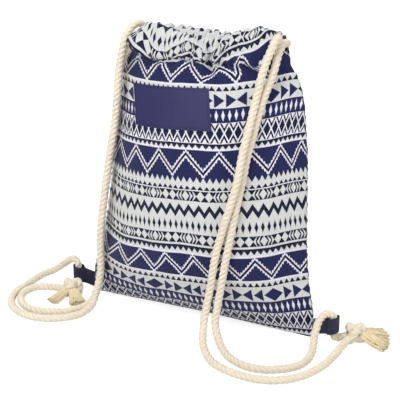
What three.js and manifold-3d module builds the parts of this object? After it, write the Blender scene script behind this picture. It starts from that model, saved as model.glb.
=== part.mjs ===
// A drawstring backpack of woven cotton: two panels sewn together at the sides and the bottom, a
// gathered tunnel hem along the top of each, two rope loops that close the mouth and serve as shoulder
// straps, a folded leatherette tab in each bottom corner, and a blank leatherette label on the front.
// Millimetres, +Z up. The front faces -Y, the bag stands on its flattened bottom at z = 0.
import * as THREE from "three";
import Module from "manifold-3d";
import { mergeVertices } from "three/addons/utils/BufferGeometryUtils.js";

// Free space between pieces that touch
const CLEARANCE = 0.3;

// Fabric
const WALL = 2;
const COLUMNS = 36;
const ROWS_PER_STATION = 2;

// The stuffed body, from the bottom seam up to the neck under the tunnel
const BOTTOM_HALF_WIDTH = 168;
const BODY_HEIGHT = 339;
const FRONT_BULGE = 64;
const BACK_BULGE = 58;
const BODY_LEAN = 31;
const BODY_SWAY = 5;
const CORNER_LIFT = 4;

// Its shape, level by level, as shares of those lengths: the height, half the width at the side seams,
// how far the front and the back bulge, how far the body leans back and sways to the right, and how
// much its corners curl up.
const BODY_SHAPE = [
  { z: 0, halfWidth: 1, front: 0, back: 0, lean: 0, sway: 0, cornerLift: 0 },
  { z: 0, halfWidth: 1, front: 0.14, back: 0.345, lean: 0, sway: 0, cornerLift: 1 },
  { z: 0.03, halfWidth: 1, front: 0.344, back: 0.603, lean: 0, sway: 0, cornerLift: 0.5 },
  { z: 0.103, halfWidth: 0.994, front: 0.656, back: 0.828, lean: 0, sway: 0, cornerLift: 0 },
  { z: 0.215, halfWidth: 0.94, front: 0.89, back: 0.948, lean: 0.03, sway: 0.4, cornerLift: 0 },
  { z: 0.357, halfWidth: 0.893, front: 1, back: 1, lean: 0.13, sway: 0.8, cornerLift: 0 },
  { z: 0.528, halfWidth: 0.863, front: 0.969, back: 0.931, lean: 0.32, sway: 1, cornerLift: 0 },
  { z: 0.693, halfWidth: 0.839, front: 0.875, back: 0.828, lean: 0.52, sway: 1, cornerLift: 0 },
  { z: 0.829, halfWidth: 0.798, front: 0.75, back: 0.707, lean: 0.74, sway: 1, cornerLift: 0 },
  { z: 0.935, halfWidth: 0.762, front: 0.61, back: 0.586, lean: 0.9, sway: 0.8, cornerLift: 0 },
  { z: 1, halfWidth: 0.708, front: 0.469, back: 0.5, lean: 1, sway: 0.6, cornerLift: 0 },
];
const BODY = BODY_SHAPE.map((share) => ({
  z: WALL / 2 + share.z * BODY_HEIGHT,
  halfWidth: share.halfWidth * BOTTOM_HALF_WIDTH,
  front: share.front * FRONT_BULGE,
  back: share.back * BACK_BULGE,
  lean: share.lean * BODY_LEAN,
  sway: share.sway * BODY_SWAY,
  cornerLift: share.cornerLift * CORNER_LIFT,
}));

// How square a level's outline is: 2 is a parabola, more is fuller towards the side seams.
const FULLNESS = 2.6;

// Tunnel hem, a tube of cloth round the ropes; the front one puffs up towards both ends
const NECK_RISE = 12;
const NECK_Z = WALL / 2 + BODY_HEIGHT + NECK_RISE;
const TUNNEL_LEAN = 32;
const TUNNEL_SWAY = 3;
const TUNNEL_HALF_LENGTH = 80;
const TUNNEL_SPREAD = 20;
const TUNNEL_TURN = 0.78;
const TUNNEL_DEPTH = 12.5;
const TUNNEL_HEIGHT = 16;
const FRONT_PUFF = 9;
const FRONT_PUFF_SPREAD = 1.95;
const TUNNEL_STEPS = 10;
const TUNNEL_START = 0.05 * Math.PI;
const TUNNEL_END = 1.9 * Math.PI;
const TUNNEL_Z = NECK_Z + TUNNEL_HEIGHT;

// Gathers: pleats that open downwards from the neck, and one deep fold under the front tunnel
const GATHER_COUNT = 9;
const GATHER_DEPTH = 3;
const GATHER_UNEVENNESS = 5.3;
const GATHER_FADE = 38;
const FOLD_PLACE = 0.08;
const FOLD_WIDTH = 0.1;
const FOLD_DEPTH = 7;
const FOLD_FADE = 28;

// Label; its rows tilt up to the right and its ends lean to the left, as the cloth has pulled it
const LABEL_WIDTH = 117;
const LABEL_HEIGHT = 52;
const LABEL_THICKNESS = 1.2;
const LABEL_X = -31;
const LABEL_BELOW_NECK = 60.5;
const LABEL_Z = NECK_Z - LABEL_BELOW_NECK;
const LABEL_TILT = 0.071;
const LABEL_LEAN = 0.262;

// Corner tabs: a strip folded in two round the rope, its ends caught in the side seam
const TAB_WIDTH = 26;
const TAB_Z = 5;
const TAB_SHEET = 1.6;
const TAB_STEM = 12;
const TAB_EYE_LENGTH = 23;
const TAB_EYE_WIDTH = 13.5;
const TAB_RISE = 0.22;

// Ropes
const ROPE_DIAMETER = 10;
const ROPE_SIDES = 8;
const ROPE_STEPS_PER_POINT = 2;

// Each rope starts and ends at the knot beside its tab. It climbs the front, runs through one tunnel,
// turns round outside the far end, comes back through the other tunnel, and climbs down again.
const ROPE_RIGHT_POINTS = [
  [217.6, 1.8, 8.5],
  [214.5, -11, 5.8],
  [214, -45, 5.4],
  [210, -80, 5.4],
  [196, -114, 5.4],
  [173, -136, 5.4],
  [143, -144, 5.4],
  [110, -140, 5.4],
  [82, -128, 6.4],
  [61, -107, 14],
  [50.5, -84, 34],
  [49.5, -77, 47],
  [51.5, -71, 69],
  [58.5, -68, 120],
  [66, -64, 155],
  [74, -59.5, 186],
  [81, -52.5, 220],
  [82.5, -44.5, 247],
  [85, -34, 274],
  [87, -23, 300],
  [89, -15, 322],
  [92.5, -13, 341],
  [96.5, -9, 359],
  [101, -4.5, 374],
  [104.5, 1, 385.5],
  [105.5, 7, 389.5],
  [103.5, 12.5, 386],
  [95, 16.2, 379],
  [86, 13, 376.5],
  [77, 12, 374.5],
  [33, 8.4, 372.8],
  [0, 7.2, 368],
  [-33, 8.4, 363.2],
  [-77, 12, 361.5],
  [-89, 15, 361.5],
  [-97.5, 22, 361.5],
  [-101, 32, 361.5],
  [-97.5, 42, 361.5],
  [-89, 49, 361.5],
  [-77, 52, 361.5],
  [-33, 47.8, 363.2],
  [0, 45.9, 368],
  [33, 47.8, 372.8],
  [77, 52, 374.5],
  [87, 51, 374.5],
  [96, 48.5, 375],
  [103, 42, 376.5],
  [105, 33, 378.5],
  [105.5, 24, 379],
  [106, 15, 375],
  [105.5, 8, 366],
  [104.5, 2.5, 354],
  [101.5, -1.5, 339],
  [96, -6, 321],
  [91.5, -13.5, 298],
  [88.5, -23.5, 272],
  [85, -34, 244.5],
  [83, -41.5, 217.5],
  [79, -50, 184],
  [75.5, -56, 154],
  [71, -61.5, 120],
  [65, -67.5, 70],
  [63.5, -73, 48],
  [65, -80.5, 30],
  [87, -101, 8],
  [118, -118, 5.4],
  [146, -119, 5.4],
  [171, -105, 5.4],
  [186, -84, 5.4],
  [190, -54, 7],
  [187, -26, 22],
  [188, -9, 41],
  [192.5, -1.5, 46],
  [196.3, 0, 38],
  [196.4, 0, 26],
  [196.4, 0.2, 17],
  [196.6, 0.6, 9.5],
  [199.5, 4.5, 5.4],
  [204, 7.6, 5.8],
  [209, 9.6, 7.5],
];
const ROPE_LEFT_POINTS = [
  [-190, -20.2, 8.5],
  [-193, -13, 6],
  [-195.6, -6.5, 5.4],
  [-196.4, -1, 9.5],
  [-196.4, 0, 17],
  [-196.4, 0, 28],
  [-196.8, 0.3, 39],
  [-201, 2, 45.5],
  [-212, 8, 42],
  [-234, 18, 23],
  [-256, 19, 9],
  [-268, 2, 5.4],
  [-268, -34, 5.4],
  [-265, -66, 5.4],
  [-252, -92, 5.4],
  [-234, -110, 5.4],
  [-208, -123, 5.4],
  [-176, -122, 5.4],
  [-150, -107, 5.4],
  [-137, -88, 5.4],
  [-132, -66, 11],
  [-134.5, -50, 24],
  [-136, -37, 43],
  [-135, -33, 110],
  [-128, -23, 190],
  [-123, -15, 235],
  [-121, -5, 268],
  [-116, -5, 303],
  [-116, 2, 335],
  [-112, 4, 356],
  [-113, 6, 367],
  [-111, 14, 378],
  [-108, 24, 385.5],
  [-105, 34, 387],
  [-102, 42, 382],
  [-95, 47, 376.5],
  [-86, 50.5, 374.5],
  [-77, 52, 374.5],
  [-33, 55.6, 372.8],
  [0, 56.5, 368],
  [33, 55.6, 363.2],
  [83, 52, 361.5],
  [92, 49.5, 361.5],
  [100, 43, 361.5],
  [104, 32, 361.5],
  [100, 21, 361.5],
  [92, 14.5, 361.5],
  [83, 12, 361.5],
  [33, 16.2, 363.2],
  [0, 17.9, 368],
  [-33, 16.2, 372.8],
  [-77, 12, 374.5],
  [-90, 11.5, 374],
  [-99, 12, 370.5],
  [-105, 13.5, 364.5],
  [-111, 15.5, 356],
  [-117, 15, 344],
  [-121, 12.5, 331],
  [-121, 4.5, 299],
  [-126, 4.5, 264],
  [-128, -5.5, 231],
  [-133, -13.5, 186],
  [-140, -23.5, 106],
  [-141, -27.5, 39],
  [-140, -41, 18],
  [-142, -60, 7.5],
  [-150, -78, 5.4],
  [-163, -93, 5.4],
  [-180, -101.5, 5.4],
  [-204, -106, 5.4],
  [-230, -94, 5.4],
  [-246, -68, 5.4],
  [-242, -42, 5.4],
  [-222, -31, 5.6],
  [-201.8, -31.6, 8],
];

// Knots, with the frayed rope ends beyond them
const KNOT_RADIUS = 12;
const KNOT_FLATNESS = 0.86;
const TASSEL_NECK = 5;
const TASSEL_END = 11;
const TASSEL_FLATNESS = 0.42;
const KNOT_RIGHT = { at: [221, 14], tasselLength: 42, tassels: [[0.98, -0.2], [0.94, 0.34]] };
const KNOT_LEFT = { at: [-189, -33], tasselLength: 32, tassels: [[-0.3, -0.95], [0.48, -0.88]] };

const wasm = await Module();
wasm.setup();

const cloth = new THREE.MeshStandardMaterial({ color: 0x2c2f63, roughness: 0.95, metalness: 0 });
const leather = new THREE.MeshStandardMaterial({ color: 0x3d3f75, roughness: 0.55, metalness: 0 });
const rope = new THREE.MeshStandardMaterial({ color: 0xf0e4cb, roughness: 0.9, metalness: 0 });

// The bag itself, and the ropes that lie round it
const bag = new THREE.Group();
const ropes = new THREE.Group();

function addMesh(group, name, geometry, material) {
  const mesh = new THREE.Mesh(geometry, material);
  mesh.name = name;
  group.add(mesh);
  return mesh;
}

// The slope at a point between two rises: none at a turn, so that the curve never overshoots.
function gentleSlope(before, after) {
  return before * after <= 0 ? 0 : (2 * before * after) / (before + after);
}

// A value of the body's stations at a level that may lie between two of them, on a smooth curve.
function station(level, key) {
  const i = Math.min(Math.floor(level), BODY.length - 2);
  const t = level - i;
  const value = (k) => BODY[Math.max(0, Math.min(BODY.length - 1, k))][key];
  const [a, b, c, d] = [value(i - 1), value(i), value(i + 1), value(i + 2)];
  const slopeIn = gentleSlope(b - a, c - b);
  const slopeOut = gentleSlope(c - b, d - c);
  const t2 = t * t;
  const t3 = t2 * t;
  return b * (2 * t3 - 3 * t2 + 1) + slopeIn * (t3 - 2 * t2 + t) + c * (3 * t2 - 2 * t3) + slopeOut * (t3 - t2);
}

// The line of the tunnel seen from above: straight, then turning in towards the side seam.
function tunnelLine(across) {
  const run = Math.abs(across) * (TUNNEL_HALF_LENGTH + TUNNEL_SPREAD * TUNNEL_TURN);
  const turn = Math.max(0, run - TUNNEL_HALF_LENGTH) / TUNNEL_SPREAD;
  return {
    x: Math.sign(across) * (Math.min(run, TUNNEL_HALF_LENGTH) + TUNNEL_SPREAD * Math.sin(turn)),
    spread: TUNNEL_SPREAD * Math.cos(turn),
  };
}

function pleat(across, z) {
  const fade = Math.max(0, 1 - Math.max(0, NECK_Z - z) / GATHER_FADE);
  const ends = 1 - Math.abs(across) ** 8;
  const uneven = 0.7 + 0.3 * Math.cos(GATHER_UNEVENNESS * across + 1);
  return GATHER_DEPTH * uneven * fade * fade * ends * Math.cos(2 * Math.PI * GATHER_COUNT * across);
}

function deepFold(across, z) {
  const fade = Math.max(0, 1 - Math.abs(NECK_Z - z) / FOLD_FADE);
  const beside = (across - FOLD_PLACE) / (FOLD_WIDTH * (0.4 + (NECK_Z - z) / FOLD_FADE));
  return z > NECK_Z ? 0 : FOLD_DEPTH * fade * Math.exp(-beside * beside);
}

// Middle of the cloth of one panel. across runs from -1 to 1 between the side seams; level runs over
// the body's stations, then round the tunnel. side is -1 for the front panel and 1 for the back.
const BODY_LEVELS = BODY.length - 1;
function clothPoint(side, across, level) {
  const seamOffset = WALL / 2 + CLEARANCE / 2;
  const line = tunnelLine(across);
  if (level <= BODY_LEVELS) {
    const z = station(level, "z") + station(level, "cornerLift") * Math.abs(across) ** 8;
    const bulge = station(level, side < 0 ? "front" : "back") * (1 - Math.abs(across) ** FULLNESS);
    const fold = side < 0 ? deepFold(across, z) : 0;
    const out = seamOffset + bulge + (level > 2 ? pleat(across, z) - fold : 0);
    const x = station(level, "halfWidth") * across + station(level, "sway");
    return new THREE.Vector3(x, station(level, "lean") + side * out, z);
  }
  const angle = TUNNEL_START + (level - BODY_LEVELS - 1) * (TUNNEL_END - TUNNEL_START);
  const pleated = Math.sin(angle) > 0 || Math.cos(angle) < -0.5 ? pleat(across, NECK_Z) : 0;
  const depth = TUNNEL_DEPTH + Math.max(0, Math.sin(angle)) * (pleated + GATHER_DEPTH * 0.5);
  const puff = side < 0 ? FRONT_PUFF * Math.abs(Math.sin(FRONT_PUFF_SPREAD * across)) ** 3 : 0;
  const height = TUNNEL_HEIGHT + Math.max(0, -Math.cos(angle)) * (pleated + GATHER_DEPTH * 0.5 + puff);
  return new THREE.Vector3(
    line.x + TUNNEL_SWAY,
    TUNNEL_LEAN + side * (line.spread + depth * Math.sin(angle)),
    TUNNEL_Z - height * Math.cos(angle),
  );
}

// One panel's levels: those of the body, the neck, and the steps round the tunnel.
function panelLevels() {
  const levels = [];
  for (let i = 0; i < BODY_LEVELS * ROWS_PER_STATION; i += 1) levels.push(i / ROWS_PER_STATION);
  levels.push(BODY_LEVELS);
  for (let i = 0; i <= TUNNEL_STEPS; i += 1) levels.push(BODY_LEVELS + 1 + i / TUNNEL_STEPS);
  return levels;
}

// A closed sheet of the given thickness round a grid of points, its outer face along the normals.
function thickSheet(grid, thickness, outward) {
  const rows = grid.length;
  const columns = grid[0].length;
  const at = (i, j) => grid[Math.max(0, Math.min(rows - 1, i))][Math.max(0, Math.min(columns - 1, j))];
  const points = [];
  for (const way of [0.5, -0.5]) {
    for (let i = 0; i < rows; i += 1) {
      for (let j = 0; j < columns; j += 1) {
        const alongRow = at(i, j + 1).clone().sub(at(i, j - 1));
        const alongColumn = at(i + 1, j).clone().sub(at(i - 1, j));
        const normal = alongRow.cross(alongColumn).normalize().multiplyScalar(outward * way * thickness);
        points.push(at(i, j).clone().add(normal));
      }
    }
  }
  const index = (layer, i, j) => (layer * rows + i) * columns + j;
  const faces = [];
  const quad = (a, b, c, d) => faces.push(a, b, c, a, c, d);
  for (let i = 0; i < rows - 1; i += 1) {
    for (let j = 0; j < columns - 1; j += 1) {
      quad(index(0, i, j), index(0, i, j + 1), index(0, i + 1, j + 1), index(0, i + 1, j));
      quad(index(1, i, j), index(1, i + 1, j), index(1, i + 1, j + 1), index(1, i, j + 1));
    }
    quad(index(0, i, 0), index(0, i + 1, 0), index(1, i + 1, 0), index(1, i, 0));
    const last = columns - 1;
    quad(index(0, i + 1, last), index(0, i, last), index(1, i, last), index(1, i + 1, last));
  }
  for (let j = 0; j < columns - 1; j += 1) {
    quad(index(0, 0, j + 1), index(0, 0, j), index(1, 0, j), index(1, 0, j + 1));
    const top = rows - 1;
    quad(index(0, top, j), index(0, top, j + 1), index(1, top, j + 1), index(1, top, j));
  }
  if (outward < 0) faces.reverse();
  const geometry = new THREE.BufferGeometry().setFromPoints(points);
  geometry.setIndex(faces);
  geometry.computeVertexNormals();
  return geometry;
}

function panel(side) {
  const grid = panelLevels().map((level) => {
    const row = [];
    for (let j = 0; j <= COLUMNS; j += 1) row.push(clothPoint(side, (2 * j) / COLUMNS - 1, level));
    return row;
  });
  return thickSheet(grid, WALL, -side);
}
addMesh(bag, "front_panel", panel(-1), cloth);
addMesh(bag, "back_panel", panel(1), cloth);

// The front cloth's middle at a place given by x and z.
function frontAt(x, z) {
  let low = 2;
  let high = BODY_LEVELS;
  for (let i = 0; i < 40; i += 1) {
    const middle = (low + high) / 2;
    if (station(middle, "z") < z) low = middle;
    else high = middle;
  }
  return clothPoint(-1, (x - station(low, "sway")) / station(low, "halfWidth"), low);
}

function label() {
  const columns = 14;
  const rows = 7;
  const lift = WALL / 2 + LABEL_THICKNESS / 2 + CLEARANCE;
  const grid = [];
  for (let i = 0; i <= rows; i += 1) {
    const row = [];
    for (let j = 0; j <= columns; j += 1) {
      const u = (j / columns - 0.5) * LABEL_WIDTH;
      const v = (i / rows - 0.5) * LABEL_HEIGHT;
      const x = LABEL_X + u * Math.cos(LABEL_TILT) - v * Math.sin(LABEL_LEAN);
      const z = LABEL_Z + v * Math.cos(LABEL_LEAN) + u * Math.sin(LABEL_TILT);
      const step = 1;
      const here = frontAt(x, z);
      const alongX = frontAt(x + step, z).sub(here);
      const alongZ = frontAt(x, z + step).sub(here);
      row.push(here.clone().add(alongX.cross(alongZ).normalize().multiplyScalar(lift)));
    }
    grid.push(row);
  }
  return thickSheet(grid, LABEL_THICKNESS, 1);
}
addMesh(bag, "label_patch", label(), leather);

// Seen from above, a tab is a stem of two layers that opens into an eye for the rope.
function tab(side) {
  const outer = TAB_EYE_WIDTH / 2 + TAB_SHEET;
  const start = CLEARANCE + WALL / 4;
  const eyeStart = start + TAB_STEM;
  const eyeEnd = eyeStart + TAB_EYE_LENGTH;
  const bend = TAB_EYE_WIDTH * 0.8;
  const outline = new THREE.Shape();
  outline.moveTo(start, -TAB_SHEET);
  outline.lineTo(eyeStart, -TAB_SHEET);
  outline.bezierCurveTo(eyeStart + bend, -TAB_SHEET, eyeStart + bend * 0.6, -outer, eyeEnd - outer, -outer);
  outline.absarc(eyeEnd - outer, 0, outer, -Math.PI / 2, Math.PI / 2, false);
  outline.bezierCurveTo(eyeStart + bend * 0.6, outer, eyeStart + bend, TAB_SHEET, eyeStart, TAB_SHEET);
  outline.lineTo(start, TAB_SHEET);
  outline.closePath();
  const inner = TAB_EYE_WIDTH / 2;
  const eye = new THREE.Path();
  eye.moveTo(eyeStart + 3, 0);
  eye.bezierCurveTo(eyeStart + bend, 0.6, eyeStart + bend * 0.7, inner, eyeEnd - outer, inner);
  eye.absarc(eyeEnd - outer, 0, inner, Math.PI / 2, -Math.PI / 2, true);
  eye.bezierCurveTo(eyeStart + bend * 0.7, -inner, eyeStart + bend, -0.6, eyeStart + 3, 0);
  outline.holes.push(eye);
  const geometry = new THREE.ExtrudeGeometry(outline, { depth: TAB_WIDTH, bevelEnabled: false, curveSegments: 8 });
  const rise = new THREE.Matrix4().set(1, 0, 0, 0, 0, 1, 0, 0, TAB_RISE, 0, 1, 0, 0, 0, 0, 1);
  geometry.applyMatrix4(rise);
  const mesh = addMesh(bag, side > 0 ? "tab_right" : "tab_left", geometry, leather);
  mesh.scale.x = side;
  mesh.position.set(side * BOTTOM_HALF_WIDTH, 0, TAB_Z);
}
tab(1);
tab(-1);

// The rope's path by its chosen points, so that the steps are short where the points are close.
class RopePath extends THREE.Curve {
  constructor(points) {
    super();
    this.spline = new THREE.CatmullRomCurve3(points.map((p) => new THREE.Vector3(...p)), false, "centripetal");
  }
  getPoint(t, target) {
    return this.spline.getPoint(t, target);
  }
  getPointAt(u, target) {
    return this.spline.getPoint(u, target);
  }
  getTangentAt(u, target) {
    return this.spline.getTangent(u, target);
  }
}

function ropeGeometry(points) {
  const section = new THREE.Shape();
  for (let i = 0; i < ROPE_SIDES; i += 1) {
    const angle = (2 * Math.PI * (i + 0.5)) / ROPE_SIDES;
    const [x, y] = [(ROPE_DIAMETER / 2) * Math.cos(angle), (ROPE_DIAMETER / 2) * Math.sin(angle)];
    if (i === 0) section.moveTo(x, y);
    else section.lineTo(x, y);
  }
  section.closePath();
  const steps = ROPE_STEPS_PER_POINT * (points.length - 1);
  return new THREE.ExtrudeGeometry(section, { steps, extrudePath: new RopePath(points) });
}
addMesh(ropes, "rope_right", ropeGeometry(ROPE_RIGHT_POINTS), rope);
addMesh(ropes, "rope_left", ropeGeometry(ROPE_LEFT_POINTS), rope);

function solidOf(geometry) {
  const bare = geometry.clone();
  bare.deleteAttribute("normal");
  bare.deleteAttribute("uv");
  const merged = mergeVertices(bare, 1e-4);
  return new wasm.Manifold(
    new wasm.Mesh({
      numProp: 3,
      vertProperties: merged.attributes.position.array,
      triVerts: new Uint32Array(merged.index.array),
    }),
  );
}

function geometryOf(solid) {
  const mesh = solid.getMesh();
  const geometry = new THREE.BufferGeometry();
  geometry.setAttribute("position", new THREE.BufferAttribute(mesh.vertProperties, 3));
  geometry.setIndex(new THREE.BufferAttribute(mesh.triVerts, 1));
  return geometry;
}

// A knot with its two frayed ends, lying on the ground.
function knot(name, { at, tasselLength, tassels }) {
  const height = KNOT_RADIUS * KNOT_FLATNESS;
  const ball = new THREE.SphereGeometry(KNOT_RADIUS, 14, 10);
  ball.scale(1, 1, KNOT_FLATNESS);
  ball.translate(at[0], at[1], height);
  let solid = solidOf(ball);
  for (const [dx, dy] of tassels) {
    const profile = [
      new THREE.Vector2(0, 0),
      new THREE.Vector2(TASSEL_NECK, 0),
      new THREE.Vector2(TASSEL_END * 0.9, tasselLength * 0.6),
      new THREE.Vector2(TASSEL_END, tasselLength * 0.9),
      new THREE.Vector2(TASSEL_END * 0.8, tasselLength),
      new THREE.Vector2(0, tasselLength),
    ];
    const fan = new THREE.LatheGeometry(profile, 12);
    fan.scale(1, 1, TASSEL_FLATNESS);
    fan.translate(0, KNOT_RADIUS * 0.6, TASSEL_END * TASSEL_FLATNESS);
    fan.rotateZ(Math.atan2(dy, dx) - Math.PI / 2);
    fan.translate(at[0], at[1], 0);
    solid = solid.add(solidOf(fan));
  }
  addMesh(ropes, name, geometryOf(solid), rope);
}
knot("knot_right", KNOT_RIGHT);
knot("knot_left", KNOT_LEFT);

// The origin lies under the middle of the bag without its ropes, on the ground.
const drawstringBackpack = new THREE.Group();
drawstringBackpack.add(bag, ropes);
const box = new THREE.Box3().setFromObject(bag, true);
const middle = box.getCenter(new THREE.Vector3());
for (const group of [bag, ropes]) group.position.set(-middle.x, -middle.y, -box.min.z);

export default drawstringBackpack;
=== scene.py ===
import math
from functools import partial, partialmethod

import bpy
import numpy as np
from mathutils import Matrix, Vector


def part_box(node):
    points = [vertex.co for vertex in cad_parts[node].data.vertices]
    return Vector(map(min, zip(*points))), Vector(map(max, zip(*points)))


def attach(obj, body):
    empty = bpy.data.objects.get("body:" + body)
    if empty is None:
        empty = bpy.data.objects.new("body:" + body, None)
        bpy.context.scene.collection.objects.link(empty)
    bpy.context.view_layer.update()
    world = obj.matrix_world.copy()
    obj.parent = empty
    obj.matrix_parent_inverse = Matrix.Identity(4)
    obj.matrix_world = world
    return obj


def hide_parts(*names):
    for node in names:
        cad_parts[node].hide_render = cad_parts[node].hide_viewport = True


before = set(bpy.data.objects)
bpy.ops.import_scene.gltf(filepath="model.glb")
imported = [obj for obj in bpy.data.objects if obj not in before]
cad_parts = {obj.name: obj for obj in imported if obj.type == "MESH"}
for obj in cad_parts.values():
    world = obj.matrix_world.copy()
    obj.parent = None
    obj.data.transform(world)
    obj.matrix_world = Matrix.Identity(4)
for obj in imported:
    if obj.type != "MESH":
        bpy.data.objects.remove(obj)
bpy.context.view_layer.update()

# The model is drawn in millimetres with y = 0 in the plane of the side seams, where the tabs sit.
MM = 0.001
tab_low, tab_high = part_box("tab_right")
SEAM_Y = (tab_low.y + tab_high.y) / 2


def place(points):
    """Millimetres in the bag's own plane to metres in the frame."""
    return np.asarray(points, float) * MM + np.array([0, SEAM_Y, 0])


def add_object(name, data):
    made = bpy.data.objects.new(name, data)
    bpy.context.scene.collection.objects.link(made)
    return made


def direction(azimuth, elevation):
    """The way from the bag to a place, by degrees to the right of its front and degrees up."""
    a, e = math.radians(azimuth), math.radians(elevation)
    return Vector((math.sin(a) * math.cos(e), -math.cos(a) * math.cos(e), math.sin(e)))


# Camera, as the photograph was taken
LOOK_AT = (2, 0, 165)
AZIMUTH = 27
ELEVATION = 19.5
DISTANCE = 1397
LENS = 94.5
SENSOR = 36

aim = Vector(place(LOOK_AT))
towards_camera = direction(AZIMUTH, ELEVATION)
camera = add_object("camera", bpy.data.cameras.new("camera"))
camera.data.lens = LENS
camera.data.sensor_width = SENSOR
camera.location = aim + towards_camera * DISTANCE * MM
camera.rotation_mode = "QUATERNION"
camera.rotation_quaternion = (-towards_camera).to_track_quat("-Z", "Y")
bpy.context.scene.camera = camera
bpy.context.scene.view_settings.view_transform = "Standard"


# Nodes, and formulas made of Math nodes
def feed(tree, slot, value):
    """Give an input the value of a formula or a socket, or a fixed one."""
    source = value.socket if isinstance(value, Formula) else value
    if isinstance(source, bpy.types.NodeSocket):
        tree.links.new(source, slot)
    else:
        slot.default_value = source


def add_node(tree, kind, settings=(), **inputs):
    """The outputs of a new node, with its settings and what its named inputs are given."""
    made = tree.nodes.new(kind)
    for name, value in dict(settings).items():
        setattr(made, name, value)
    for name, value in inputs.items():
        feed(tree, made.inputs[name], value)
    return made.outputs


class Formula:
    """A socket of a node tree that is reckoned with as a number."""

    def __init__(self, tree, socket):
        self.tree = tree
        self.socket = socket

    def node(self, operation, *values):
        made = self.tree.nodes.new("ShaderNodeMath")
        made.operation = operation
        for slot, value in zip(made.inputs, values):
            feed(self.tree, slot, value)
        return Formula(self.tree, made.outputs[0])

    def then(self, operation, *others):
        return self.node(operation, self, *others)

    def __rsub__(self, other):
        return self.node("SUBTRACT", other, self)

    __add__ = __radd__ = partialmethod(then, "ADD")
    __sub__ = partialmethod(then, "SUBTRACT")
    __mul__ = __rmul__ = partialmethod(then, "MULTIPLY")
    __truediv__ = partialmethod(then, "DIVIDE")
    __mod__ = partialmethod(then, "FLOORED_MODULO")
    __abs__ = partialmethod(then, "ABSOLUTE")
    __lt__ = partialmethod(then, "LESS_THAN")
    __gt__ = partialmethod(then, "GREATER_THAN")
    __and__ = partialmethod(then, "MINIMUM")
    __or__ = partialmethod(then, "MAXIMUM")
    sine = partialmethod(then, "SINE")
    steps = partialmethod(then, "SNAP")

    def within(self, low, high):
        return (self > low) & (self < high)

    def wave(self, per_unit):
        """1 at whole numbers, 0 half way between them, straight in between."""
        return abs((self * per_unit) % 1 * 2 - 1)


def either(*parts):
    """1 where any of the parts is 1."""
    whole = parts[0]
    for part in parts[1:]:
        whole = whole | part
    return whole


def srgb(*screen):
    """A colour as read off a screen, in the linear values that the shader takes."""
    shares = [value / 255 for value in screen]
    return (*(c / 12.92 if c <= 0.04045 else ((c + 0.055) / 1.055) ** 2.4 for c in shares), 1)


class Finish:
    """A material round one Principled shader."""

    def __init__(self, name, roughness):
        self.material = bpy.data.materials.new(name)
        self.material.use_nodes = True
        self.tree = self.material.node_tree
        self.shader = self.tree.nodes["Principled BSDF"]
        self.shader.inputs["Roughness"].default_value = roughness

    def uv(self, name):
        source = add_node(self.tree, "ShaderNodeUVMap", {"uv_map": name})
        parts = add_node(self.tree, "ShaderNodeSeparateXYZ", Vector=source[0])
        return Formula(self.tree, parts[0]), Formula(self.tree, parts[1])

    def texture(self, kind, output, **inputs):
        """A texture over the piece's own place. Its Scale is in bumps per metre."""
        here = add_node(self.tree, "ShaderNodeTexCoord")["Object"]
        return Formula(self.tree, add_node(self.tree, kind, Vector=here, **inputs)[output])

    def noise(self, scale, detail=2.0):
        """A number round 0.5 that drifts over the piece."""
        return self.texture("ShaderNodeTexNoise", "Fac", Scale=scale, Detail=detail)

    def grain(self, scale):
        return self.texture("ShaderNodeTexVoronoi", "Distance", Scale=scale)

    def mix(self, share, first, second, blend="MIX"):
        settings = {"data_type": "RGBA", "blend_type": blend}
        return add_node(self.tree, "ShaderNodeMix", settings, Factor=share, A=first, B=second)["Result"]

    def shade(self, colour, factor):
        """A colour times a number."""
        return self.mix(1, colour, factor, "MULTIPLY")

    def colour(self, socket):
        feed(self.tree, self.shader.inputs["Base Color"], socket)

    def bump(self, height, distance, strength):
        made = add_node(self.tree, "ShaderNodeBump", Height=height, Distance=distance, Strength=strength)
        feed(self.tree, self.shader.inputs["Normal"], made[0])


# The woven pattern. One big zigzag is PERIOD wide, and the rows repeat every REPEAT rows of ROW height.
PERIOD = 46
ROW = 0.92
REPEAT = 276
STITCHES_PER_PERIOD = 80
STITCH_ROWS = 0.5
WARP_PITCH = 1.15
TEETH = 5

# Its bands, by their rows below the top of the first zigzag band. A zigzag has a top and a height, a hatched
# band a middle, a stripe a top, a thickness and the depth of its teeth, the others a first and a last row.
ZIGZAG_BANDS = ((0, 38), (149, 35))
SERRATION = (37.9, 46)
SERRATION_ROOT = 38
SERRATION_DEPTH = 7.5
SMALL_TEETH = ((49.5, 55.5), (187, 194))
HATCHED_MIDDLES = (64, 126)
SMALL_ZIGZAG = (74, 97)
SLIM_LOZENGES = (99, 115)
STRIPES = ((136, 3.2, 5.8), (266.5, 2.4, 5.4))
ARROWS = (197, 217)
BEADS = (217.5, 238)
BEAD_MIDDLE = 227.7
LATTICE = (238, 266)
BRIGHT_ROWS = ((55.5, 57), (146, 149), (184, 187), (217, 271), (273, 276))

# The big zigzags' swing is a share of their band, and their lines' half widths and fringe are in millimetres.
# The small ones' swing and half width are in rows. FRINGES and SMALL_ZIGZAGS are counted in a big zigzag.
ZIGZAG_SWING = 0.36
ZIGZAG_SLOPE = 0.666
DARK_LINE = 1.45
WHITE_LINE = 2.6
FRINGES = 13
FRINGE_DEPTH = 2
SMALL_ZIGZAGS = 3
SMALL_SWING = 5.5
SMALL_LINE = 4.4

# The hatched band: its half height in rows, its length in zigzags, its start and a bow tie as shares of that
# length, and its strokes as shares of the lozenge's half length and of their pitch
HATCH_REACH = 7.3
HATCH_LENGTH = 1.2
HATCH_START = 0.11
BOW_TIE = 0.22
STROKE_SLANT = 0.36
STROKE_PITCH = 0.33
STROKE_WIDTHS = (0.32, 0.92)

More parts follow.
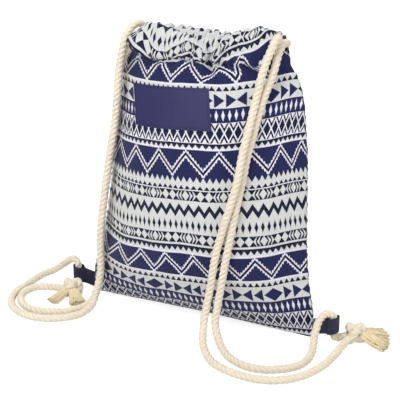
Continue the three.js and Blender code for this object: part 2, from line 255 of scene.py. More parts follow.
# Lozenges have a half width in teeth and a half height in rows, the lattice a filled cell inside a ring.
SLIM_LOZENGE = (0.29, 7.6)
BEAD = (0.27, 7.6)
LATTICE_CELLS = 3.5
LATTICE_REACH = 12.5
LATTICE_FILL = 0.8
LATTICE_RING = (1.15, 1.55)

# The arrows: start and length of one repeat in zigzags, half height in rows, and shares of the repeat
ARROW_START = 3.5
ARROW_LENGTH = 2
ARROW_REACH = 9.8
ARROWHEADS = ((0, 0.155), (0.175, 0.15))
ARROW_LOZENGE = 0.16

NAVY = srgb(40, 43, 90)
BLUE_NAVY = srgb(27, 31, 74)
DARK_NAVY = srgb(21, 24, 42)
GROUND = srgb(226, 227, 226)
BRIGHT = srgb(240, 239, 248)


def woven_pattern(zig, row):
    """Where the navy yarn shows, where the darkest yarn does, and where the brighter white does. zig counts
    big zigzags across the cloth and row the rows down it, from the top of the first zigzag band."""
    tooth = zig.wave(TEETH)

    def off_middle(first, last):
        return row - (first + last) / 2

    def zigzag_band(top, height):
        """Its field, the dark line in its middle, and the white lines beside that."""
        line = off_middle(top, top + height) + (zig.wave(1) * 2 - 1) * (height * ZIGZAG_SWING)
        aside = abs(line) * (ROW * ZIGZAG_SLOPE)
        inside = row.within(top, top + height)
        middle = aside < DARK_LINE
        white = (aside < WHITE_LINE + zig.wave(FRINGES) * FRINGE_DEPTH) & (1 - middle)
        return inside & (1 - white), inside & middle, inside & white

    def small_teeth(apex, base):
        """Up-pointing triangles between two rows."""
        return row.within(apex, base) & (1 - tooth < (row - apex) / (base - apex))

    def hanging_teeth(top, thick, depth):
        """A stripe with teeth that point down from it."""
        root = top + thick
        return row.within(top, root) | (row.within(top, root + depth) & (tooth > (row - root) / depth))

    def hatched_band(middle):
        """Two bow ties, then a lozenge that slanting strokes close in from both sides."""
        aside = abs(row - middle) / HATCH_REACH
        along = (zig / HATCH_LENGTH + HATCH_START) % 1
        bow = abs((along / BOW_TIE) % 1 - 0.5) * 2
        bows = (along < 2 * BOW_TIE) & (1 - bow < aside)
        half = 0.5 - BOW_TIE
        outside = abs(along - (1 - half)) / half - (1 - aside) * STROKE_SLANT
        thin, thick = STROKE_WIDTHS
        stroke = (outside / STROKE_PITCH) % 1 < aside * (thick - thin) + thin
        strokes = (along > 2 * BOW_TIE) & (outside > 0) & stroke
        return row.within(middle - HATCH_REACH, middle + HATCH_REACH) & (bows | strokes)

    def lozenges(middle, half_width, half_height):
        return tooth / (2 * half_width) + abs(row - middle) / half_height < 1

    def arrow_band(first, last):
        """Arrowheads that point away from a lozenge on both of its sides."""
        across = ((zig - ARROW_START) / ARROW_LENGTH) % 1
        across = across & (1 - across)
        height = abs(off_middle(first, last)) / ARROW_REACH
        arrows = height < 1 - (0.5 - across) / ARROW_LOZENGE
        for tip, length in ARROWHEADS:
            arrows = arrows | (across.within(tip, tip + length) & (height < (across - tip) / length))
        return arrows & row.within(first, last)

    serration = row.within(*SERRATION) & (tooth > (row - SERRATION_ROOT) / SERRATION_DEPTH)
    small_line = off_middle(*SMALL_ZIGZAG) + (zig.wave(SMALL_ZIGZAGS) * 2 - 1) * SMALL_SWING
    small_zigzag = row.within(*SMALL_ZIGZAG) & (abs(small_line) < SMALL_LINE)
    slim = row.within(*SLIM_LOZENGES) & lozenges(sum(SLIM_LOZENGES) / 2, *SLIM_LOZENGE)
    beads = row.within(*BEADS) & (1 - lozenges(BEAD_MIDDLE, *BEAD))
    cell = abs((zig * LATTICE_CELLS) % 1 - 0.5) * 2 + abs(off_middle(*LATTICE)) / LATTICE_REACH
    lattice = row.within(*LATTICE) & ((cell < LATTICE_FILL) | cell.within(*LATTICE_RING))

    fields, middles, whites = zip(*(zigzag_band(*band) for band in ZIGZAG_BANDS))
    dark = either(
        *middles,
        *(small_teeth(*rows) for rows in SMALL_TEETH),
        *(hatched_band(middle) for middle in HATCHED_MIDDLES),
        *(hanging_teeth(*stripe) for stripe in STRIPES),
        small_zigzag,
        slim,
        lattice,
    )
    navy = either(dark, *fields, serration, arrow_band(*ARROWS), beads)
    bright = either(*whites, *(row.within(*rows) for rows in BRIGHT_ROWS))
    return navy, dark, bright


def woven_cotton():
    finish = Finish("woven_cotton", 0.93)
    across, up = finish.uv("cloth")
    zig = across / (PERIOD * MM)
    row = (REPEAT - up / (ROW * MM)) % REPEAT
    navy, dark, bright = woven_pattern(zig.steps(1 / STITCHES_PER_PERIOD), row.steps(STITCH_ROWS))
    white = finish.mix(bright, GROUND, BRIGHT)
    mottle = finish.noise(420, 3) * 0.5 + 0.75
    slub = finish.noise(90) * 0.16 + 0.92
    light = finish.shade(white, mottle * 0.35 + slub * 0.65)
    blue = finish.mix(finish.noise(700), BLUE_NAVY, NAVY)
    yarn = finish.shade(finish.mix(dark * 0.75, blue, DARK_NAVY), mottle * 0.7 + 0.4)
    finish.colour(finish.mix(navy, light, yarn))
    warp = (across * (2 * math.pi / (WARP_PITCH * MM))).sine()
    weft = (up * (2 * math.pi / (ROW * MM))).sine()
    finish.bump(warp * weft * 0.5 + finish.noise(900) * 0.6 - navy * 0.35, 0.35 * MM, 0.6)
    finish.shader.inputs["Sheen Weight"].default_value = 0.12
    finish.shader.inputs["Specular IOR Level"].default_value = 0.25
    return finish.material


def leatherette(name, colour, worn_colour, roughness):
    finish = Finish(name, roughness)
    finish.colour(finish.mix(finish.noise(35, 3), colour, worn_colour))
    finish.bump(finish.grain(1500) * 0.7 + finish.noise(2500) * 0.3, 0.12 * MM, 0.5)
    return finish.material


STRANDS = 3
FIBRES_PER_METRE = 300
FIBRES_AROUND = 10


def twisted_cotton():
    finish = Finish("cotton_rope", 0.9)
    along, around = finish.uv("rope")
    # Painted shade: the cream is darkened towards the grooves between the strands, where shade falls. The
    # fibre lines darken it a little too.
    groove_shade = abs((around * STRANDS) % 1 - 0.5) * 2
    fibres = ((along * FIBRES_PER_METRE + around * FIBRES_AROUND) * (2 * math.pi)).sine() * 0.5 + 0.5
    cream = finish.mix(finish.noise(60), srgb(255, 245, 227), srgb(249, 235, 210))
    tone_with_groove_shade = 1.03 - (groove_shade * groove_shade * groove_shade) * 0.1 - fibres * 0.05
    finish.colour(finish.shade(cream, tone_with_groove_shade))
    finish.bump(fibres * 0.5 + finish.noise(1500) * 0.5, 0.3 * MM, 0.6)
    finish.shader.inputs["Specular IOR Level"].default_value = 0.2
    return finish.material


def frayed_cotton():
    finish = Finish("frayed_cotton", 0.95)
    finish.colour(finish.mix(finish.noise(120, 3), srgb(252, 240, 212), srgb(238, 218, 174)))
    finish.bump(finish.noise(1800), 0.2 * MM, 0.5)
    finish.shader.inputs["Specular IOR Level"].default_value = 0.2
    return finish.material


def thread(name, colour):
    finish = Finish(name, 0.7)
    finish.colour(finish.shade(colour, finish.noise(1200) * 0.4 + 0.8))
    finish.bump(finish.noise(3000), 0.1 * MM, 0.4)
    return finish.material


COTTON = woven_cotton()
LABEL_LEATHER = leatherette("leatherette", srgb(34, 34, 87), srgb(42, 41, 97), 0.55)
TAB_LEATHER = leatherette("dark_leatherette", srgb(26, 27, 58), srgb(36, 36, 72), 0.5)
ROPE = twisted_cotton()
FRAY = frayed_cotton()
LABEL_THREAD = thread("label_thread", srgb(22, 22, 58))
TAB_THREAD = thread("tab_thread", srgb(34, 34, 70))


def finished(name, data):
    """A mesh as a smooth piece of the bag."""
    data.polygons.foreach_set("use_smooth", [True] * len(data.polygons))
    data.update()
    made = add_object(name, data)
    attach(made, "root")
    return made


def mesh_piece(name, points, faces, material, uv_name=None, uvs=None):
    """A new piece of the bag from points in metres, with its UVs by point."""
    data = bpy.data.meshes.new(name)
    data.from_pydata(np.asarray(points).tolist(), [], np.asarray(faces).tolist())
    data.materials.append(material)
    if uv_name:
        layer = data.uv_layers.new(name=uv_name)
        corners = np.zeros(len(data.loops), int)
        data.loops.foreach_get("vertex_index", corners)
        layer.data.foreach_set("uv", np.asarray(uvs, float)[corners].ravel())
    return finished(name, data)


def unit(vectors):
    return vectors / np.maximum(np.linalg.norm(vectors, axis=-1), 1e-9)[..., None]


# Ropes. ROPE_FLUFF is how much thicker the loose cotton is than the stated diameter, and ROPE_LAY is the
# length in which a strand goes round once.
ROPE_DIAMETER = 10
ROPE_STEP = 1.7
ROPE_LAY = 21
ROPE_SIDES = 30
STRAND_SHARE = 0.66
ROPE_FLUFF = 1.06
CURVE_STEPS = 24

ROPE_RIGHT_POINTS = [
    (217.6, 1.8, 8.5), (214.5, -11, 5.8), (214, -45, 5.4), (210, -80, 5.4), (196, -114, 5.4),
    (173, -136, 5.4), (143, -144, 5.4), (110, -140, 5.4), (82, -128, 6.4), (61, -107, 14), (50.5, -84, 34),
    (49.5, -77, 47), (51.5, -71, 69), (58.5, -68, 120), (66, -64, 155), (74, -59.5, 186), (81, -52.5, 220),
    (82.5, -44.5, 247), (85, -34, 274), (87, -23, 300), (89, -15, 322), (92.5, -13, 341), (96.5, -9, 359),
    (101, -4.5, 374), (104.5, 1, 385.5), (105.5, 7, 389.5), (103.5, 12.5, 386), (95, 16.2, 379),
    (86, 13, 376.5), (77, 12, 374.5), (33, 8.4, 372.8), (0, 7.2, 368), (-33, 8.4, 363.2), (-77, 12, 361.5),
    (-89, 15, 361.5), (-97.5, 22, 361.5), (-101, 32, 361.5), (-97.5, 42, 361.5), (-89, 49, 361.5),
    (-77, 52, 361.5), (-33, 47.8, 363.2), (0, 45.9, 368), (33, 47.8, 372.8), (77, 52, 374.5),
    (87, 51, 374.5), (96, 48.5, 375), (103, 42, 376.5), (105, 33, 378.5), (105.5, 24, 379), (106, 15, 375),
    (105.5, 8, 366), (104.5, 2.5, 354), (101.5, -1.5, 339), (96, -6, 321), (91.5, -13.5, 298),
    (88.5, -23.5, 272), (85, -34, 244.5), (83, -41.5, 217.5), (79, -50, 184), (75.5, -56, 154),
    (71, -61.5, 120), (65, -67.5, 70), (63.5, -73, 48), (65, -80.5, 30), (87, -101, 8), (118, -118, 5.4),
    (146, -119, 5.4), (171, -105, 5.4), (186, -84, 5.4), (187.5, -54, 7), (181.5, -28, 20), (182, -13, 35),
    (188, -5, 41), (195.6, -0.6, 36.5), (196.4, 0, 26), (196.4, 0.2, 17), (196.6, 0.6, 9.5),
    (199.5, 4.5, 5.4), (204, 7.6, 5.8), (209, 9.6, 7.5), (212, 10.6, 8.2),
]
ROPE_LEFT_POINTS = [
    (-190, -20.2, 8.5), (-193, -13, 6), (-195.6, -6.5, 5.4), (-196.4, -1, 9.5), (-196.4, 0, 17),
    (-196.4, 0, 28), (-197, 0.3, 35), (-202, 2.4, 39.5), (-213, 8, 36.5), (-234, 17, 21), (-251, 17.5, 8.5),
    (-260.5, 2, 5.4), (-260.5, -34, 5.4), (-259, -67, 5.4), (-250, -91.5, 5.4), (-234, -110, 5.4),
    (-208, -123, 5.4), (-176, -122, 5.4), (-150, -107, 5.4), (-137, -88, 5.4), (-132, -66, 11),
    (-134.5, -50, 24), (-136, -37, 43), (-135, -33, 110), (-128, -23, 190), (-123.5, -15, 235),
    (-123, -5, 268), (-119, -5, 303), (-119, 2, 335), (-115, 4, 356), (-113, 6, 367), (-111, 14, 378),
    (-108, 24, 385.5), (-105, 34, 387), (-102, 42, 382), (-95, 47, 376.5), (-86, 50.5, 374.5),
    (-77, 52, 374.5), (-33, 55.6, 372.8), (0, 56.5, 368), (33, 55.6, 363.2), (83, 52, 361.5),
    (92, 49.5, 361.5), (100, 43, 361.5), (104, 32, 361.5), (100, 21, 361.5), (92, 14.5, 361.5),
    (83, 12, 361.5), (33, 16.2, 363.2), (0, 17.9, 368), (-33, 16.2, 372.8), (-77, 12, 374.5),
    (-90, 11.5, 374), (-99, 12, 370.5), (-105, 13.5, 364.5), (-111, 15.5, 356), (-119, 15, 344),
    (-123.5, 12.5, 331), (-124, 4.5, 299), (-127.5, 4.5, 264), (-128, -5.5, 231), (-133, -13.5, 186),
    (-140, -23.5, 106), (-141, -27.5, 39), (-140, -41, 18), (-142, -60, 7.5), (-150, -78, 5.4),
    (-163, -93, 5.4), (-180, -101.5, 5.4), (-204, -106, 5.4), (-230, -94, 5.4), (-247, -68, 5.4),
    (-243, -42, 5.4), (-222, -31, 5.6), (-202, -32, 8), (-196, -33, 9),
]

def route(points, closed=False):
    """Points at even steps on a centripetal Catmull-Rom curve through the chosen ones."""
    chosen = np.array(points, float)
    if closed:
        knots = np.vstack([chosen[-1], chosen, chosen[:2]])
    else:
        knots = np.vstack([2 * chosen[0] - chosen[1], chosen, 2 * chosen[-1] - chosen[-2]])
    t = np.linspace(0, 1, CURVE_STEPS, endpoint=False)[:, None]
    pieces = []
    for p0, p1, p2, p3 in zip(knots, knots[1:], knots[2:], knots[3:]):
        d0, d1, d2 = (max(np.linalg.norm(b - a) ** 0.5, 1e-6) for a, b in ((p0, p1), (p1, p2), (p2, p3)))
        out = ((p1 - p0) / d0 - (p2 - p0) / (d0 + d1) + (p2 - p1) / d1) * d1
        into = ((p2 - p1) / d1 - (p3 - p1) / (d1 + d2) + (p3 - p2) / d2) * d1
        pieces.append(
            p1 + out * t + (3 * (p2 - p1) - 2 * out - into) * t**2 + (2 * (p1 - p2) + out + into) * t**3
        )
    curve = np.vstack([*pieces, knots[-2][None]])
    reach = np.concatenate([[0], np.cumsum(np.linalg.norm(np.diff(curve, axis=0), axis=1))])
    even = np.linspace(0, reach[-1], max(8, round(reach[-1] / ROPE_STEP)))
    return np.stack([np.interp(even, reach, curve[:, k]) for k in range(3)], 1)


def rings_round(path, radius, angle):
    """Rings of points round a path. Their first direction is carried along it without turning round it."""
    ahead = unit(np.gradient(path, axis=0))
    side = np.cross(ahead[0], (0.3, 0.2, 1))
    sides = []
    for way in ahead:
        side = side - way * side.dot(way)
        side = side / np.linalg.norm(side)
        sides.append(side)
    along_first = np.array(sides)[:, None] * (radius * np.cos(angle))[..., None]
    along_second = np.cross(ahead, sides)[:, None] * (radius * np.sin(angle))[..., None]
    return path[:, None] + along_first + along_second


def tube_faces(rings, sides):
    """Faces of a tube whose points are counted ring by ring."""
    i, j = np.meshgrid(np.arange(rings - 1) * sides, np.arange(sides), indexing="ij")
    beside = (j + 1) % sides
    return np.stack([i + j, i + beside, i + sides + beside, i + sides + j], -1).reshape(-1, 4)


def twisted_tube(path, diameter, sides):
    """Points, faces and UVs of a three-strand rope along a path in millimetres."""
    reach = np.concatenate([[0], np.cumsum(np.linalg.norm(np.diff(path, axis=0), axis=1))])
    corner = np.arange(sides) / sides
    strand = 0.5 * diameter * STRAND_SHARE
    centre = 0.5 * diameter - strand
    spread = ((corner * STRANDS) % 1 - 0.5) * (2 * math.pi / STRANDS)
    radius = centre * np.cos(spread) + np.sqrt(np.maximum(strand**2 - (centre * np.sin(spread)) ** 2, 0))
    angle = 2 * math.pi * (corner[None, :] + reach[:, None] / ROPE_LAY)
    points = rings_round(path, radius, angle).reshape(-1, 3)
    uvs = np.stack([np.repeat(reach * MM, sides), np.tile(corner, len(path))], 1)
    return points, tube_faces(len(path), sides), uvs


def rope_piece(name, node, points):
    path = route(points)
    vertices, faces, uvs = twisted_tube(path, ROPE_DIAMETER * ROPE_FLUFF, ROPE_SIDES)
    made = mesh_piece(name, place(vertices), faces, ROPE, "rope", uvs)
    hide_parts(node)
    return made


# Knots and the frayed rope ends beyond them. A knot lies "at" a place on the ground, and its "tassels" point
# two ways from there. A tassel has a "length" and, at its "end", half a width.
KNOT_RADIUS = 15.5
KNOT_FLATNESS = 0.86
KNOT_SWELL = 1.28
KNOT_OPENING = 1.06
KNOT_SIDES = 24
CORE_RADIUS = 9
CORE_FLATNESS = 0.8
TASSEL_FLATNESS = 0.37
TASSEL_THROAT = 5.5
YARNS = 170
YARN_SIDES = 5
YARN_STEPS = 9
YARN_RADIUS = (0.55, 0.8)
SHORTEST_YARN = 0.86
KNOT_RIGHT = {"at": (222, 13), "length": 37, "end": 14.5, "tassels": ((1.0, -0.1), (0.72, 0.69))}
KNOT_LEFT = {"at": (-186, -33), "length": 31, "end": 11.5, "tassels": ((-0.26, -0.97), (0.7, -0.71))}


def knot_piece(name, node, knot):
    """A tight overhand knot, drawn as a trefoil of the rope itself round a core that fills its holes."""
    height = KNOT_RADIUS * KNOT_FLATNESS
    middle = (*knot["at"], height)
    t = np.linspace(0, 2 * math.pi, 60, endpoint=False)
    rope_radius = ROPE_DIAMETER / 2 * KNOT_SWELL
    reach = (KNOT_RADIUS - rope_radius) / 3 * KNOT_OPENING
    x = reach * (np.sin(t) + 2 * np.sin(2 * t))
    y = reach * (np.cos(t) - 2 * np.cos(2 * t))
    path = route(np.stack([x, y, -(height - rope_radius) * np.sin(3 * t)], 1), closed=True) + middle
    vertices, faces, uvs = twisted_tube(path, 2 * rope_radius, KNOT_SIDES)
    core_points, core_faces, core_uvs = knot_core(middle, around=24, down=13)
    made = mesh_piece(
        name,
        place(np.vstack([vertices, core_points])),
        np.vstack([faces, core_faces + len(vertices)]),
        ROPE,
        "rope",
        np.vstack([uvs, core_uvs]),
    )
    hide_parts(node)
    return made


def knot_core(middle, around, down):
    """Points, faces and UVs of a slightly flattened ball, its poles drawn as tiny rings."""
    tip = 0.02
    polar = np.linspace(tip, math.pi - tip, down)[:, None] + np.zeros(around)
    turn = np.arange(around) * (2 * math.pi / around) + np.zeros((down, 1))
    x, y, z = np.sin(polar) * np.cos(turn), np.sin(polar) * np.sin(turn), CORE_FLATNESS * np.cos(polar)
    points = np.stack([x, y, z], -1).reshape(-1, 3) * CORE_RADIUS + middle
    uvs = np.stack([polar * CORE_RADIUS * MM, turn / (2 * math.pi)], -1).reshape(-1, 2)
    return points, tube_faces(down, around)[:, ::-1], uvs


def tassel_piece(name, knot, seed):
    """Loose yarns that fan out from the knot and droop onto the ground."""
    dice = np.random.RandomState(seed)
    yarns = []
    share = np.linspace(0, 1, YARN_STEPS)
    corner = np.arange(YARN_SIDES) * 2 * math.pi / YARN_SIDES
    thin, fat = YARN_RADIUS
    low = knot["end"] * TASSEL_FLATNESS
    spread = TASSEL_THROAT + (knot["end"] - TASSEL_THROAT) * share**0.7
    middle = KNOT_RADIUS * KNOT_FLATNESS * (1 - share) + low * share
    for way in knot["tassels"]:
        ahead = np.array(way) / math.hypot(*way)
        across = np.array([-ahead[1], ahead[0]])
        for _ in range(YARNS):
            spot = math.sqrt(dice.rand())
            turn = dice.rand() * 2 * math.pi
            length = knot["length"] * (SHORTEST_YARN + (1 - SHORTEST_YARN) * dice.rand())
            wave = (0.4 + 1.1 * share**2) * np.sin(share * (5 + 4 * dice.rand()) + dice.rand() * 6)
            aside = spot * math.cos(turn) * spread + wave
            height = middle + spot * math.sin(turn) * np.minimum(spread, low - 0.4) + 0.3 * wave
            out = KNOT_RADIUS * 0.55 + length * share
            flat = np.array(knot["at"]) + ahead * out[:, None] + across * aside[:, None]
            thick = (thin + (fat - thin) * dice.rand()) * (1 - 0.5 * share**3)
            line = np.column_stack([flat, np.maximum(height, 0.7)])
            yarns.append(rings_round(line, thick[:, None], corner).reshape(-1, 3))
    quads = tube_faces(YARN_STEPS, YARN_SIDES)
    faces = np.vstack([quads + k * YARN_STEPS * YARN_SIDES for k in range(len(yarns))])
    return mesh_piece(name, place(np.vstack(yarns)), faces, FRAY)


knot_right = knot_piece("rope_knot_right", "knot_right", KNOT_RIGHT)
knot_left = knot_piece("rope_knot_left", "knot_left", KNOT_LEFT)
tassel_right = tassel_piece("frayed_end_right", KNOT_RIGHT, 3)
tassel_left = tassel_piece("frayed_end_left", KNOT_LEFT, 5)
rope_right = rope_piece("twisted_rope_right", "rope_right", ROPE_RIGHT_POINTS)
rope_left = rope_piece("twisted_rope_left", "rope_left", ROPE_LEFT_POINTS)

# The stuffed body at eleven levels, as shares of its height, width, bulges, lean, sway and lift. It follows
# the frame's solids, but its front's lowest part is flatter and its left shoulder is wider.
WALL = 2
SEAM_OFFSET = WALL / 2 + 0.15
BOTTOM_HALF_WIDTH = 168
BODY_HEIGHT = 339
FRONT_BULGE = 64
BACK_BULGE = 58
BODY_LEAN = 31
BODY_SWAY = 5
CORNER_LIFT = 4
BODY_SHAPE = {
    "z": (0, 0, 0.03, 0.103, 0.215, 0.357, 0.528, 0.693, 0.829, 0.935, 1),
    "half_width": (1, 1, 1, 0.994, 0.94, 0.893, 0.863, 0.839, 0.798, 0.762, 0.708),
    "front": (0, 0.05, 0.23, 0.6, 0.88, 1, 0.969, 0.875, 0.75, 0.61, 0.469),
    "back": (0, 0.345, 0.603, 0.828, 0.948, 1, 0.931, 0.828, 0.707, 0.586, 0.5),
    "lean": (0, 0, 0, 0, 0.03, 0.13, 0.32, 0.52, 0.74, 0.9, 1),
    "sway": (0, 0, 0, 0, 0.4, 0.8, 1, 1, 1, 0.8, 0.6),
    "lift": (0, 1, 0.5, 0, 0, 0, 0, 0, 0, 0, 0),
}
SCALES = {
    "z": BODY_HEIGHT,
    "half_width": BOTTOM_HALF_WIDTH,
    "front": FRONT_BULGE,
    "back": BACK_BULGE,
    "lean": BODY_LEAN,
    "sway": BODY_SWAY,
    "lift": CORNER_LIFT,
}
LAST = len(BODY_SHAPE["z"]) - 1
FULLNESS = 2.6
# How far the cloth's middle lifts off the bottom seam, and up to which level in the front and the back
SEAM_LIFT = 8.5
SEAM_LIFT_END = {-1: 3, 1: 0.9}
SHOULDER_LEFT = 8
SHOULDER_LEVELS = (7.2, 9.6)

# The gathered hem round the ropes. Angles round it are in half turns from its lowest line, outside first.
NECK_Z = WALL / 2 + BODY_HEIGHT + 12
TUNNEL_LEAN = 32
TUNNEL_SWAY = 3
TUNNEL_HALF_LENGTH = 80
TUNNEL_SPREAD = 20
TUNNEL_TURN = 0.78
TUNNEL_DEPTH = 12.5
TUNNEL_HEIGHT = 16
TUNNEL_START = 0.05
TUNNEL_END = 1.9
HEM_SHORTER = 7
HEM_SHORTER_ANGLES = (0.5, 0.85, 1.4, 1.8)
# How much higher the hem's upper edge lies along the front and the back
HEM_CREST_PLACES = (-1, -0.75, -0.5, -0.2, 0.1, 0.35, 0.6, 0.85, 1)
HEM_CREST = {-1: (0, 0, -2, -4, -3, 0, 4, 7, 4), 1: (0, -0.5, -2, -3.5, -4.5, -2, 1, 3, 2)}
HEM_CREST_ANGLES = (0.45, 0.9, 1.3, 1.8)
FRONT_PUFF = 9
FRONT_PUFF_SPREAD = 1.95
# Where the tunnels end the cloth flares down to the side seam: how far out on the left and the right, how
# far towards the seam, and up to which angle round the tunnel
CORNER_FLARE = {-1: ((17, 17), (0.1, 0.9), 0.95), 1: ((13, 14), (0.5, 0.9), 0.75)}
CORNER_FLARE_START = 0.35


def between(values, t):
    """A smooth curve through evenly spaced values that never overshoots them."""
    values = np.asarray(values, float)
    top = len(values) - 1
    i = np.clip(np.floor(t).astype(int), 0, top - 1)
    f = t - i
    a, b, c, d = (values[np.clip(i + k, 0, top)] for k in (-1, 0, 1, 2))

    def slope(before, after):
        product = before * after
        total = np.where(product > 0, before + after, 1)
        return np.where(product > 0, 2 * product / total, 0)

    smooth = 3 * f**2 - 2 * f**3
    bend = slope(b - a, c - b) * (f**3 - 2 * f**2 + f) + slope(c - b, d - c) * (f**3 - f**2)
    return b * (1 - smooth) + c * smooth + bend


def station(level, key):
    return between(BODY_SHAPE[key], level) * SCALES[key]


def smooth_step(low, high, value):
    t = np.clip((value - low) / (high - low), 0, 1)
    return t * t * (3 - 2 * t)


def swell(start, full, fading, gone, value):
    """1 from full to fading and 0 outside start and gone, smooth in between."""
    return smooth_step(start, full, value) * (1 - smooth_step(fading, gone, value))


def hump(value):
    """1 at 0 and fading away on both sides of it."""
    return np.exp(-(value**2))


def stuffed_body(side, s, level):
    """The panel's middle surface below its neck, in millimetres."""
    z = WALL / 2 + station(level, "z") + station(level, "lift") * np.abs(s) ** 8
    z = z + SEAM_LIFT * (1 - s * s) ** 1.5 * (1 - smooth_step(0, SEAM_LIFT_END[side], level))
    bulge = station(level, "front" if side < 0 else "back") * (1 - np.abs(s) ** FULLNESS)
    shoulder = SHOULDER_LEFT * smooth_step(*SHOULDER_LEVELS, level) * np.maximum(-s, 0) ** 3
    x = station(level, "half_width") * s + station(level, "sway") - shoulder
    y = station(level, "lean") + side * (SEAM_OFFSET + bulge)
    return np.stack([x, y, z], -1)


def tunnel_hem(side, s, half_turns):
    """The hem's middle surface without its gathers, in millimetres, up its outside and down its inside."""
    angle = half_turns * math.pi
    run = np.abs(s) * (TUNNEL_HALF_LENGTH + TUNNEL_SPREAD * TUNNEL_TURN)
    turn = np.maximum(0, run - TUNNEL_HALF_LENGTH) / TUNNEL_SPREAD
    x = np.sign(s) * (np.minimum(run, TUNNEL_HALF_LENGTH) + TUNNEL_SPREAD * np.sin(turn)) + TUNNEL_SWAY
    y = TUNNEL_LEAN + side * (TUNNEL_SPREAD * np.cos(turn) + TUNNEL_DEPTH * np.sin(angle))
    flare_out, flare_back, highest = CORNER_FLARE[side]
    ending = smooth_step(0.72, 1, np.abs(s))
    low = (1 - smooth_step(CORNER_FLARE_START, highest, half_turns)) * ending
    y = y + (BODY_LEAN - y) * low * ending * np.where(s > 0, flare_back[1], flare_back[0])
    x = x + np.sign(s) * low * np.where(s > 0, flare_out[1], flare_out[0])
    height = TUNNEL_HEIGHT
    if side < 0:
        x = x + HEM_SHORTER * swell(*HEM_SHORTER_ANGLES, half_turns) * np.maximum(-s, 0) ** 4
        puff = FRONT_PUFF * np.abs(np.sin(FRONT_PUFF_SPREAD * s)) ** 3
        height = height + np.maximum(0, -np.cos(angle)) * puff
    crest = swell(*HEM_CREST_ANGLES, half_turns) * np.interp(s, HEM_CREST_PLACES, HEM_CREST[side])
    return np.stack([x, y, NECK_Z + TUNNEL_HEIGHT - height * np.cos(angle) + crest], -1)


def smooth_cloth(side, s, level):
    """The panel's middle surface without its folds, in millimetres. side is -1 for the front and 1 for the
    back, s runs from -1 to 1 between the seams, and level from 0 at the bottom seam to LAST + 2 at the hem's
    inner edge."""
    s, level = np.broadcast_arrays(np.asarray(s, float), np.asarray(level, float))
    half_turns = TUNNEL_START + np.maximum(0, level - LAST - 1) * (TUNNEL_END - TUNNEL_START)
    neck = np.clip(level - LAST, 0, 1)[..., None]
    body = stuffed_body(side, s, np.minimum(level, LAST))
    return body * (1 - neck) + tunnel_hem(side, s, half_turns) * neck


# Cloth
CLOTH_THICKNESS = 0.9
CLOTH_COLUMNS = 150
CLOTH_ROWS = 260
SEAM_GAP = 0.5
GROUND_GAP = 0.5
LABEL_CENTRE = (-31, NECK_Z - 60.5)

# Where the pattern's big zigzags lie: their count at nine even places across the front, at three levels
ZIG_LEVELS = (4.4, 6.9, 9.3)
ZIG_AT = (
    (-2.1, -1.2, -0.35, 0.52, 1.43, 2.42, 3.4, 4.46, 5.75),
    (-1.5, -0.52, 0.33, 1.18, 2.04, 2.8, 3.7, 4.68, 6.3),
    (-0.45, 0.35, 1.0, 1.75, 2.42, 3.08, 3.77, 4.42, 5.3),
)
# How far the pattern's rows lie below the cloth's own length, in millimetres: low on the body, higher up,
# and at the neck, where the gathers and the two deep folds pull them about
ROW_DROP_PLACES = (-1, -0.79, -0.65, -0.5, -0.42, -0.19, 0, 0.1, 0.2, 0.35, 0.5, 0.75, 1)
ROW_DROPS = (
    (-16, -11.3, -6.5, 0.8, 4.5, 11.1, 14.5, 15.1, 15.1, 13.9, 11.8, 5.8, 5.5),
    (-15, -10.1, -3.4, 2.6, 5.3, 10.8, 12.7, 13.8, 13.8, 14.2, 14.6, 10.7, 11),
    (15, 5.5, -6.2, -4, 3.7, 15.8, 8.7, 0.3, 5.3, 20.1, 25.5, 27.1, 31),
)
BACK_DROP = 17
# Between which lengths up the cloth the low drops turn into the body's, and those into the neck's
LOW_TO_BODY = (140, 215)
BODY_TO_NECK = (350, 386)
# The fold on the left of the neck: its place up the cloth, its inner end, how far it slides and sticks out
FOLD_ROW = 373.5
FOLD_END = -0.42
FOLD_SPAN = 7
FOLD_SLIDE = 9
FOLD_DEPTH = 5.5
FOLD_FADE = 26
# The V fold right of the middle of the neck, a crease between two lips
V_FOLD = 0.12
V_DEPTH = 9
V_LIP = 3
GATHER_DEPTH = 2.1
GATHER_REACH = 17
CREST_GATHERS = (15, 32, 36, 46)
HEM_FILL = 6.5


def row_drops(side, columns):
    """How far the pattern's rows hang at each column, low on the body, higher up and at the neck."""
    if side > 0:
        return [np.interp(columns, (-1, -0.5, 0.5, 1), (0, BACK_DROP, BACK_DROP, 0))] * 3
    evened = np.ones(5) / 5
    rough = (np.pad(np.interp(columns, ROW_DROP_PLACES, drops), 2, mode="edge") for drops in ROW_DROPS)
    return [np.convolve(drops, evened, "valid") for drops in rough]


def left_fold(side, s, above):
    """How far the cloth slides and stands out where the front's neck hangs over the cloth below it."""
    if side > 0:
        return 0, 0
    here = smooth_step(FOLD_END, FOLD_END - 0.12, s)
    slide = -FOLD_SLIDE * (above / FOLD_SPAN) * np.exp(-((above / FOLD_SPAN) ** 2) / 2) * here
    return slide, FOLD_DEPTH * here / (1 + np.exp(-above / 2)) * hump(np.maximum(above, 0) / FOLD_FADE)


def gathers(side, s, below, phase):
    """How far the gathers stand out, by millimetres below the hem's seam, with the front's V fold."""
    ruffle = np.cos(phase) + 0.35 * np.cos(2.3 * phase + 1.3)
    strength = np.where(below > 0, hump(below / GATHER_REACH), 1 - 0.8 * smooth_step(60, 80, -below))
    crested = 1 + 0.35 * swell(*CREST_GATHERS, -below)
    relief = GATHER_DEPTH * ruffle * strength * (1 - np.abs(s) ** 10) * crested
    if side > 0:
        return relief
    width = 0.035 + 0.0012 * np.abs(below)
    crease = hump((s - V_FOLD) / width) * hump((below - 4) / 17)
    lips = hump((np.abs(s - V_FOLD) - 0.12) / 0.07) * hump((below + 6) / 15)
    return relief * (0.55 + 0.45 * hump((s - V_FOLD) / 0.35)) - V_DEPTH * crease + V_LIP * lips


